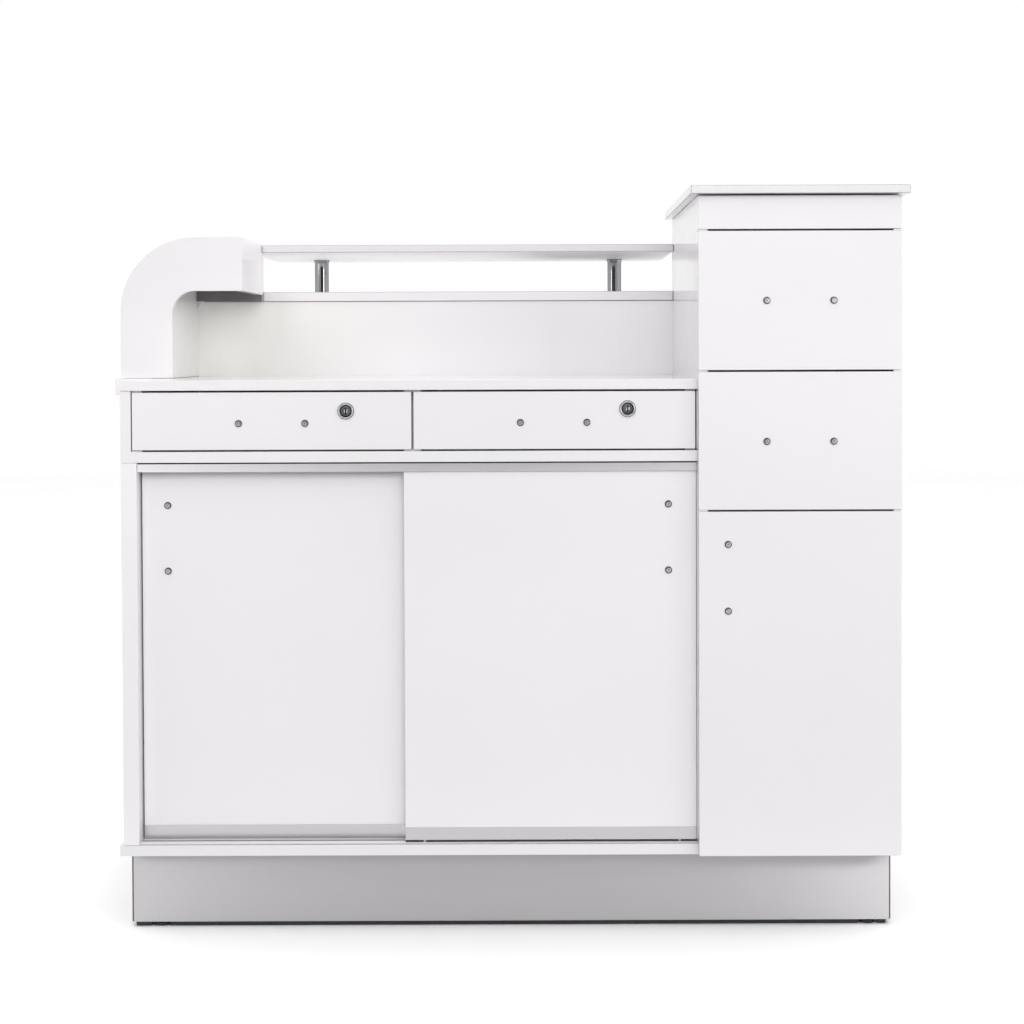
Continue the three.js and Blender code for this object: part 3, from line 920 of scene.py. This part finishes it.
for node in sorted(n for n in frame["nodes"] if n.startswith("foot_")):
    lo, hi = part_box(node)
    R, h = (hi.x - lo.x) / MM / 2, (hi.z - lo.z) / MM
    prof = [
        (0, 0),
        (R - 1.2, 0),
        (R - 0.3, 0.4),
        (R, 1.2),
        (R, h - 2.4),
        (R - 0.5, h - 1.8),
        (R * 0.62, h - 1.2),
        (R * 0.62, h),
        (0, h),
    ]
    bm = turned(prof, Vector(((lo.x + hi.x) / 2, (lo.y + hi.y) / 2, lo.z)), (0, 0, 1), 40)
    piece(node + "_finished", bm, [FOOT_AND_GAP_SHADE], BODY_OF[node], (node,), 30)


def make_screw(node):
    """Pan-head screw: domed head with a cross recess, on a shank in the board; the dome's outer part, edge and shank
    are painted near-black as a painted dark reflection.
    """
    lo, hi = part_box(node)
    R = (hi.x - lo.x) / MM / 2
    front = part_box(
        node.rsplit("_screw_", 1)[0]
        + ("_front" if "drawer" in node else "")
    )[0].y
    head = (front - lo.y) / MM
    shank = (hi.y - front) / MM
    centre = Vector(((lo.x + hi.x) / 2, front, (lo.z + hi.z) / 2))
    prof = []
    n = 18
    for i in range(n + 1):
        r = R * 0.93 * i / n
        prof.append((r, head * (1 - 0.5 * (r / R) ** 5)))
    prof += [
        (R * 0.985, head * 0.5),
        (R, head * 0.3),
        (R, 0.0),
        (R * 0.42, 0.0),
        (R * 0.40, -shank + 0.6),
        (R * 0.30, -shank),
        (0, -shank),
    ]
    rows = [0] * 13 + [1] * (len(prof) - 14)
    bm = turned(prof, centre, (0, -1, 0), 64, rows)
    turn = math.radians(17 if node.endswith("1") else 52)
    for v in bm.verts:
        d = (v.co - centre) / MM
        if -d.y < head * 0.45:
            continue
        a = abs(d.x * math.cos(turn) + d.z * math.sin(turn))
        b = abs(-d.x * math.sin(turn) + d.z * math.cos(turn))
        arm = R * 0.52
        cut = max(
            step(0.75, 0.45, a) * step(arm, arm * 0.55, b),
            step(0.75, 0.45, b) * step(arm, arm * 0.55, a),
        )
        v.co.y += cut * head * 0.62 * MM
    # the upper drawer's screws take the lighter nickel: painted light
    piece(
        node + "_finished",
        bm,
        [PALE_LIT if "upper" in node else SCREW, RIM_DARK_REFLECTION],
        BODY_OF[node],
        (node,),
        50,
        False,
    )


for node in sorted(n for n in frame["nodes"] if "_screw_" in n):
    make_screw(node)


def make_lock(node):
    """Cylinder lock: stepped bezel with its outer skirt painted near-black as a painted dark reflection, sunk plug
    whose ring groove and keyway are painted near-black as painted shade, two bright guards, barrel and cam behind.
    """
    lo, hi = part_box(node)
    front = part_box(node.replace("_lock", "_front"))[0].y
    out = (front - lo.y) / MM
    src = [v.co for v in frame["nodes"][node].data.vertices]
    face = [c for c in src if c.y < front]
    cx = (min(c.x for c in face) + max(c.x for c in face)) / 2
    cz = (min(c.z for c in face) + max(c.z for c in face)) / 2
    R = (max(c.x for c in face) - min(c.x for c in face)) / MM / 2
    centre = Vector((cx, front, cz))
    n = 26
    flat = out * 0.46
    prof = [(R * 0.60 * i / n, flat) for i in range(n + 1)]
    prof += [
        (R * 0.625, flat * 0.8),
        (R * 0.635, flat * 0.25),
        (R * 0.675, flat * 0.25),
        (R * 0.70, flat * 0.9),
        (R * 0.735, out * 0.74),
        (R * 0.78, out * 0.93),
        (R * 0.825, out),
        (R * 0.875, out * 0.97),
        (R * 0.92, out * 0.80),
        (R * 0.945, out * 0.52),
        (R * 0.965, out * 0.40),
        (R * 0.99, out * 0.34),
        (R, out * 0.24),
        (R, 0.0),
        (0, 0.0),
    ]
    rows = [1] * n + [1, 2, 2, 2, 0, 0, 0, 0, 0, 0, 3, 3, 3, 3, 3]
    bm = turned(prof, centre, (0, -1, 0), 96, rows)
    for f in bm.faces:
        d = (f.calc_center_median() - centre) / MM
        if f.material_index == 1 and abs(d.x) < 1.1 and abs(d.z) < R * 0.40:
            f.material_index = 2
        elif (
            f.material_index == 1
            and 1.25 < abs(d.x - 0.12 * d.z) < 2.1
            and abs(d.z) < R * 0.20
        ):
            f.material_index = 4
    for v in bm.verts:
        d = (v.co - centre) / MM
        if -d.y > flat * 0.95 and math.hypot(d.x, d.z) < R * 0.61:
            cut = step(1.25, 0.8, abs(d.x)) * step(R * 0.45, R * 0.38, abs(d.z))
            dish = 0.10 * (math.hypot(d.x, d.z) / (R * 0.6)) ** 2
            rib = step(0.75, 0.3, abs(abs(d.x - 0.12 * d.z) - 1.68)) * step(
                R * 0.24, R * 0.16, abs(d.z)
            )
            v.co.y += (cut * flat * 0.85 - dish * flat - rib * 0.30) * MM
    piece(
        node + "_finished",
        bm,
        [TRIM, PLUG, KEYWAY_SHADE, RIM_DARK_REFLECTION, BRIGHT],
        BODY_OF[node],
        (node,),
        45,
        False,
    )
    # barrel and cam behind the front, as the node has them
    bm = solid_of(node)
    bmesh.ops.bisect_plane(
        bm,
        geom=bm.verts[:] + bm.edges[:] + bm.faces[:],
        plane_co=(0, front + 0.0002, 0),
        plane_no=(0, -1, 0),
        clear_outer=True,
    )
    bmesh.ops.holes_fill(bm, edges=[e for e in bm.edges if e.is_boundary])
    soften(bm, sharp_edges(bm, 50), 0.3 * MM, 1)
    piece(node + "_barrel", bm, [NICKEL], BODY_OF[node], (), 35)


for node in ("desk_drawer_left_lock", "desk_drawer_right_lock"):
    make_lock(node)


def make_hinge(node):
    """Concealed hinge: softened arm, two fixing screws on it, and a sunk cup in the door."""
    finished(node, NICKEL, 1.2, segs=3)
    lo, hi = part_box(node)
    for k, y in enumerate((lo.y + 0.55 * (hi.y - lo.y), lo.y + 0.82 * (hi.y - lo.y))):
        prof = [
            (0, 0.7),
            (0.9, 0.72),
            (1.3, 1.5),
            (2.4, 1.45),
            (3.3, 1.1),
            (3.6, 0.5),
            (3.6, 0.0),
            (0, 0.0),
        ]
        bm = turned(
            prof, Vector((lo.x, y, (lo.z + hi.z) / 2)), (-1, 0, 0), 32
        )
        piece(f"{node}_fixing_{k + 1}", bm, [TRIM], BODY_OF[node], (), 40)
    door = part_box("tower_door")
    cx = (lo.x + hi.x) / 2
    centre = Vector((cx, door[1].y, (lo.z + hi.z) / 2))
    prof = [
        (0, -9.6),
        (8.0, -9.6),
        (14.6, -9.2),
        (15.8, -8.0),
        (16.2, -1.2),
        (16.6, -0.3),
        (17.2, -0.25),
        (17.2, -11.6),
        (0, -11.6),
    ]
    bm = turned(prof, centre, (0, 1, 0), 56)
    piece(f"{node}_cup", bm, [NICKEL], "tower_door", (), 40)


for node in ("tower_hinge_upper", "tower_hinge_lower"):
    make_hinge(node)

# ------------------------------------------------------------ floor, lights
floor_m = Mat("floor_paper", (0.97, 0.97, 0.97), 0.75)
floor_m.colour(
    floor_m.ramp(
        floor_m.noise(1.7, 2.0), [(0.3, (0.965, 0.965, 0.967)), (0.7, (0.975, 0.975, 0.975))]
    )
)
floor_m.rough(floor_m.span(floor_m.noise(45.0), 0.7, 0.85))
bm = bmesh.new()
bmesh.ops.create_circle(bm, cap_ends=True, segments=96, radius=9.0)
me = bpy.data.meshes.new("floor")
bm.to_mesh(me)
bm.free()
me.materials.append(floor_m.m)
floor = bpy.data.objects.new("floor", me)
floor.location = (0, 0, -0.0002)
scene.collection.objects.link(floor)

world = bpy.data.worlds.new("studio")
scene.world = world
world.use_nodes = True
bg = world.node_tree.nodes["Background"]
bg.inputs["Color"].default_value = (1, 1, 1, 1)
bg.inputs["Strength"].default_value = 1.0


def softbox(name, at, aim, wide, high, radiance):
    d = bpy.data.lights.new(name, "AREA")
    d.shape = "RECTANGLE"
    d.size, d.size_y = wide, high
    d.energy = radiance * math.pi * wide * high
    o = bpy.data.objects.new(name, d)
    o.location = at
    o.rotation_euler = (Vector(aim) - Vector(at)).to_track_quat("-Z", "Y").to_euler()
    o.visible_camera = False
    scene.collection.objects.link(o)
    return o


def only_on(light, name, pieces):
    """Flags the light off from all but these pieces."""
    group = bpy.data.collections.new(name)
    for o in pieces:
        group.objects.link(o)
    light.light_linking.receiver_collection = group


desk = [o for o in scene.objects if o.type == "MESH" and o != floor]
# the floor is lit a good deal brighter than the desk's upper faces
for k, power, lit in ((1, 0.84, [floor]), (2, 0.20, desk)):
    top = softbox(f"top_box_{k}", (0.0, -0.4, 4.6), (0, -0.3, 0.0), 6.5, 5.0, power)
    only_on(top, f"top_lit_{k}", lit)
key = softbox("key_right", (3.6, -3.6, 1.9), (-0.2, 0.0, 0.85), 2.2, 1.8, 2.6)
# the tower's outer side keeps some shade
only_on(
    key,
    "key_lit",
    [floor] + [o for o in desk if o.name != "tower_side_right_finished"],
)
softbox("front_top", (-0.5, -1.9, 2.3), (0.0, 0.0, 0.9), 1.8, 0.7, 1.4)
front = softbox("front_box", (0.3, -4.6, 2.45), (0.0, 0.0, 0.8), 4.6, 2.0, 5.0)
front.visible_glossy = False
only_on(front, "desk_only", desk)
for k, y, aim, wide, deep, power in (
    (1, 0.6, 0.2, 6.0, 4.0, 0.22),
    (2, -2.4, -0.8, 6.0, 2.2, 0.22),
    (3, -6.8, -6.8, 16.0, 6.0, 0.8),
):
    ground = softbox(f"floor_wash_{k}", (0.0, y, 3.6), (0.0, aim, 0.0), wide, deep, power)
    ground.visible_glossy = False
    only_on(ground, f"floor_only_{k}", [floor])
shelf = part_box("counter_shelf")
lift = softbox(
    "under_counter",
    (-0.2, (shelf[0].y + shelf[1].y) / 2, shelf[1].z + 0.004),
    (-0.2, (shelf[0].y + shelf[1].y) / 2, 2.0),
    0.5,
    0.2,
    0.47,
)
lift.visible_glossy = False

plated = [
    o
    for o in scene.objects
    if o.type == "MESH" and any(m in (CHROME, TRIM, SCREW, PALE_LIT) for m in o.data.materials)
]
for k, x in ((1, -2.6), (2, 1.5)):
    strip = softbox(f"strip_{k}", (x, -2.0, 1.1), (0, 0, 0.95), 0.3, 1.2, 5.0)
    only_on(strip, f"plated_{k}", plated)

for s, at, aim, power in (
    (-1, (-0.74, -0.60, 0.256), (-0.57, -0.29, 0.05), 12.0),
    (1, (0.74, -0.60, 0.275), (0.62, -0.29, 0.05), 22.0),
):
    wash = softbox(f"plinth_wash_{s + 2}", at, aim, 0.25, 0.04, power)
    wash.data.spread = math.radians(90)
    only_on(wash, f"plinth_{s + 2}", [bpy.data.objects["plinth_finished"]])


def card(name, at, wide, high, shade, gloss_only=True, flat=False):
    """A plain sheet that the camera doesn't see: the unlit end of the studio, its dark carpet, or a dark streak for the plated metal."""
    m = Mat(name, (shade, shade, shade), 0.9)
    m.rough(m.span(m.noise(8.0), 0.85, 0.95))
    bm = bmesh.new()
    bmesh.ops.create_grid(bm, x_segments=1, y_segments=1, size=0.5)
    me = bpy.data.meshes.new(name)
    bm.to_mesh(me)
    bm.free()
    me.materials.append(m.m)
    o = bpy.data.objects.new(name, me)
    o.scale = (wide, high, 1)
    o.location = at
    o.rotation_euler = (0 if flat else math.pi / 2, 0, 0)
    o.visible_camera = False
    o.visible_diffuse = not gloss_only
    o.visible_shadow = not (gloss_only or flat)
    o.visible_transmission = False
    scene.collection.objects.link(o)
    return o


card("dark_card", (0.05, -4.4, 1.28), 2.2, 0.5, 0.02)
card("studio_end", (0.0, -5.4, 2.4), 11.0, 5.2, 0.12, False)
carpet = card("dark_carpet", (0.0, -1.9, 0.012), 4.4, 2.9, 0.21, False, True)
carpet.visible_glossy = False
# it takes light from above only, so the floor under it stays as bright as the rest
tree = carpet.data.materials[0].node_tree
clear = tree.nodes.new("ShaderNodeBsdfTransparent")
side = tree.nodes.new("ShaderNodeNewGeometry")
both = tree.nodes.new("ShaderNodeMixShader")
tree.links.new(side.outputs["Backfacing"], both.inputs[0])
tree.links.new(tree.nodes["Principled BSDF"].outputs[0], both.inputs[1])
tree.links.new(clear.outputs[0], both.inputs[2])
tree.links.new(both.outputs[0], tree.nodes["Material Output"].inputs[0])


def glow_wall():
    """A sheet behind the camera, bright at both ends, that only gloss picks up."""
    m = Mat("glow_wall", (0.0, 0.0, 0.0), 0.9)
    sep = m.add("ShaderNodeSeparateXYZ")
    m.link(m.co, sep.inputs[0])
    shades = (
        (0.0, 1.9),
        (0.285, 1.45),
        (0.379, 0.72),
        (0.474, 0.19),
        (0.545, 0.17),
        (0.632, 0.54),
        (0.727, 0.95),
        (1.0, 1.3),
    )
    tone = m.ramp(
        m.span(sep.outputs["X"], 0.0, 1.0, -0.5, 0.5), [(p, (v,) * 3) for p, v in shades]
    )
    m.link(tone, m.b.inputs["Emission Color"])
    m.b.inputs["Emission Strength"].default_value = 1.0
    o = card("glow_wall", (-0.3, -4.5, 0.47), 6.6, 1.04, 0.0)
    o.data.materials[0] = m.m


glow_wall()

# ------------------------------------------------------------------- end
bpy.context.view_layer.update()
